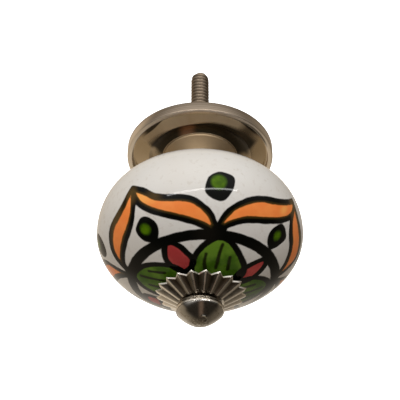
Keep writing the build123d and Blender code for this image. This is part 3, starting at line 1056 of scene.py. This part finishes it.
def make_finial_nut():
    first_bead = FINIAL_BACK + FINIAL_NECK + SMALL_BEAD_ROUND
    second_bead = first_bead + BEAD_PITCH
    cone_foot = second_bead + CONE_STEP
    small_bead = arc((BEAD_RING_R, first_bead), SMALL_BEAD_ROUND, *SMALL_BEAD_SHOWS, BEAD_CUTS)
    bead = arc((BEAD_RING_R, second_bead), BEAD_ROUND, *BEAD_SHOWS, BEAD_CUTS)
    hole_end = FINIAL_BACK + FINIAL_HOLE_DEPTH
    profile = [(0, hole_end), (FINIAL_HOLE_R, hole_end), (FINIAL_HOLE_R, FINIAL_BACK)]
    profile += [(FINIAL_NECK_R, FINIAL_BACK), (FINIAL_NECK_R, FINIAL_BACK + FINIAL_NECK)]
    profile += small_bead + bead
    cone_side = (CONE_R - CONE_LEAN, cone_foot + CONE_RISE)
    cone_end = (0, FINIAL_FRONT)
    profile += curve([(CONE_R, cone_foot), cone_side, (TIP_BLUNT, FINIAL_FRONT), cone_end], CONE_CUTS)
    bm = turned(profile, FINIAL_STEPS, closed=False)

    bm.normal_update()
    verts = list(bm.verts)
    places = np.array([(v.co.x / MM, v.co.z / MM) for v in verts])
    curl_gap = stroke_gap(places, painted_line(CURL), CURL_WIDTH)
    lift = CURL_HEIGHT * np.clip(-curl_gap * 2 / CURL_WIDTH, 0, 1)
    for vert, height in zip(verts, lift):
        forward = -vert.co.y / MM
        if forward > cone_foot + CONE_RISE:
            vert.co += vert.normal * height * MM
        elif first_bead - SMALL_BEAD_ROUND < forward < cone_foot:
            angle = atan2(vert.co.z, vert.co.x)
            waves = [sin(around * angle + turn * forward) for around, turn in BEAD_WAVES]
            dent = BEAD_DENT * sum(waves) / len(waves)
            vert.co += vert.normal * (dent - BEAD_DENT) * MM
    as_piece(bm, "cone_finial", "finial_nut", polished_nickel(), sharp=45)


def finish_lock_nut():
    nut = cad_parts["lock_nut"]
    nut.data.materials.clear()
    nut.data.materials.append(zinc_steel())


# Studio
FLOOR_DROP = 150.0
FLOOR_SIZE = 8000.0
STRIP_LENGTH = 740.0
STRIP_WIDTH = 30.0
STRIP_PLACE = (30.0, -100.0, 490.0)
STRIP_TURN = -5.0               # degrees
STRIP_POWER = 1.6               # watts

# Colours of the room that the knob reflects, in linear light
WHITE = (1, 1, 1, 1)
TABLE_BACK = (0.66, 0.55, 0.42, 1)
TABLE_FRONT = (0.44, 0.37, 0.275, 1)
TABLE_BELOW = (0.9, 0.81, 0.69, 1)
TABLE_RIGHT = (0.14, 0.117, 0.087, 1)
WALL_FRONT = (0.06, 0.053, 0.045, 1)
WALL_BACK = (0.2, 0.18, 0.15, 1)
CEILING_BACK = (1.0, 1.0, 0.995, 1)
CEILING_RIGHT = (0.46, 0.45, 0.44, 1)
CEILING_LEFT = (1.15, 1.13, 1.1, 1)
SHADE_DARK = (0.04, 0.034, 0.026, 1)
SHADE_BAND = (0.26, 0.185, 0.135, 1)

# Where one changes into another, as parts of a direction: x to the right, y back and z up
TABLE_TO_FRONT = (-0.05, -0.55)
BELOW_TO_TABLE = (-0.95, -0.7)
TABLE_TO_RIGHT = (0.05, 0.6)
TABLE_RIGHT_COVER = 0.75
WALL_TO_BACK = (-0.1, 0.6)
CEILING_TO_LEFT = (0.0, -0.7)
CEILING_TO_FRONT = (0.3, -0.3)
WALL_TO_CEILING = (0.0, 0.95)
TABLE_TO_WALL = (-0.06, 0.06)
SHADE_AHEAD = (0.32, 0.56)
SHADE_RISE = 0.2                # the shade starts further ahead high up
SHADE_SLANT = 0.2               # and less far ahead on the right
SHADE_MIDDLE = 0.08
SHADE_SAG = 0.15                # its lower end is lowest in its middle
SHADE_OVER_TABLE = (-0.64, -0.12)
SHADE_UNDER_CEILING = (0.88, 0.74)
BAND_ACROSS = (0.26, 0.02)
BAND_UP = (-0.25, 0.1)


def make_floor():
    """A plain white floor, far enough below that no shadow reaches it."""
    bm = bmesh.new()
    bmesh.ops.create_grid(bm, x_segments=1, y_segments=1, size=FLOOR_SIZE * MM / 2)
    bmesh.ops.translate(bm, verts=bm.verts, vec=(0, 0, -FLOOR_DROP * MM))
    mesh = bpy.data.meshes.new("floor")
    bm.to_mesh(mesh)
    bm.free()
    floor = bpy.data.objects.new("floor", mesh)
    bpy.context.scene.collection.objects.link(floor)
    glow = {"Emission_Color": WHITE, "Emission_Strength": 1.0}
    paper = Finish("white_paper", Roughness=1.0, Base_Color=WHITE, **glow)
    mesh.materials.append(paper.material)
    floor.visible_diffuse = False
    floor.visible_glossy = False
    floor.visible_shadow = False


def make_room():
    """A pale table below, a bright ceiling and a dark shade in front. The camera itself sees white."""
    world = bpy.data.worlds.new("studio")
    bpy.context.scene.world = world
    world.use_nodes = True
    room = Nodes(world.node_tree)
    x, y, z = room.split(room.add("ShaderNodeTexCoord", "Generated", {}))
    table = room.mix(room.fade(y, *TABLE_TO_FRONT), TABLE_BACK, TABLE_FRONT)
    table = room.mix(room.fade(z, *BELOW_TO_TABLE), TABLE_BELOW, table)
    table = room.mix(room.times(room.fade(x, *TABLE_TO_RIGHT), TABLE_RIGHT_COVER), table, TABLE_RIGHT)
    wall = room.mix(room.fade(y, *WALL_TO_BACK), WALL_FRONT, WALL_BACK)
    ceiling = room.mix(room.fade(x, *CEILING_TO_LEFT), CEILING_RIGHT, CEILING_LEFT)
    ceiling = room.mix(room.fade(y, *CEILING_TO_FRONT), CEILING_BACK, ceiling)
    upper = room.mix(room.fade(z, *WALL_TO_CEILING), wall, ceiling)
    glow = room.mix(room.fade(z, *TABLE_TO_WALL), table, upper)

    ahead = room.math("SUBTRACT", room.times(y, -1.0), room.times(z, SHADE_RISE))
    ahead = room.math("ADD", ahead, room.times(x, SHADE_SLANT))
    aside = room.off(x, SHADE_MIDDLE)
    over_table = room.fade(room.math("SUBTRACT", z, room.times(aside, SHADE_SAG)), *SHADE_OVER_TABLE)
    under_ceiling = room.fade(z, *SHADE_UNDER_CEILING)
    shade = room.times(room.fade(ahead, *SHADE_AHEAD), over_table, under_ceiling)
    band = room.times(room.fade(aside, *BAND_ACROSS), room.fade(z, *BAND_UP))
    glow = room.mix(shade, glow, room.mix(band, SHADE_DARK, SHADE_BAND))
    seen = room.add("ShaderNodeLightPath", "Is Camera Ray", {})
    background = world.node_tree.nodes["Background"]
    room.feed(background.inputs["Color"], room.mix(seen, glow, WHITE))


def make_strip_light():
    """A long soft lamp overhead, aimed at the mounting face."""
    strip = bpy.data.lights.new("strip_light", "AREA")
    strip.shape = "RECTANGLE"
    strip.size = STRIP_LENGTH * MM
    strip.size_y = STRIP_WIDTH * MM
    strip.energy = STRIP_POWER
    lamp = bpy.data.objects.new("strip_light", strip)
    lamp.location = Vector(STRIP_PLACE) * MM
    turn = Quaternion((0, 0, 1), radians(STRIP_TURN))
    lamp.rotation_euler = ((-Vector(lamp.location)).to_track_quat("-Z", "Y") @ turn).to_euler()
    bpy.context.scene.collection.objects.link(lamp)


def make_camera():
    data = bpy.data.cameras.new("camera")
    data.sensor_width = SENSOR
    data.lens = LENS
    data.clip_start = MM
    camera = bpy.data.objects.new("camera", data)
    tilt = radians(CAMERA_ELEVATION)
    back_off = CAMERA_AIM + CAMERA_DISTANCE * cos(tilt)
    camera.location = Vector((0, -back_off, CAMERA_DISTANCE * sin(tilt))) * MM
    camera.rotation_euler = (pi / 2 - tilt, 0, 0)
    bpy.context.scene.collection.objects.link(camera)
    bpy.context.scene.camera = camera
    bpy.context.scene.view_settings.view_transform = "Standard"


make_camera()
make_room()
make_strip_light()
make_floor()
make_threaded_rod()
make_base()
make_ceramic_body()
make_petal_washer()
make_finial_nut()
finish_lock_nut()
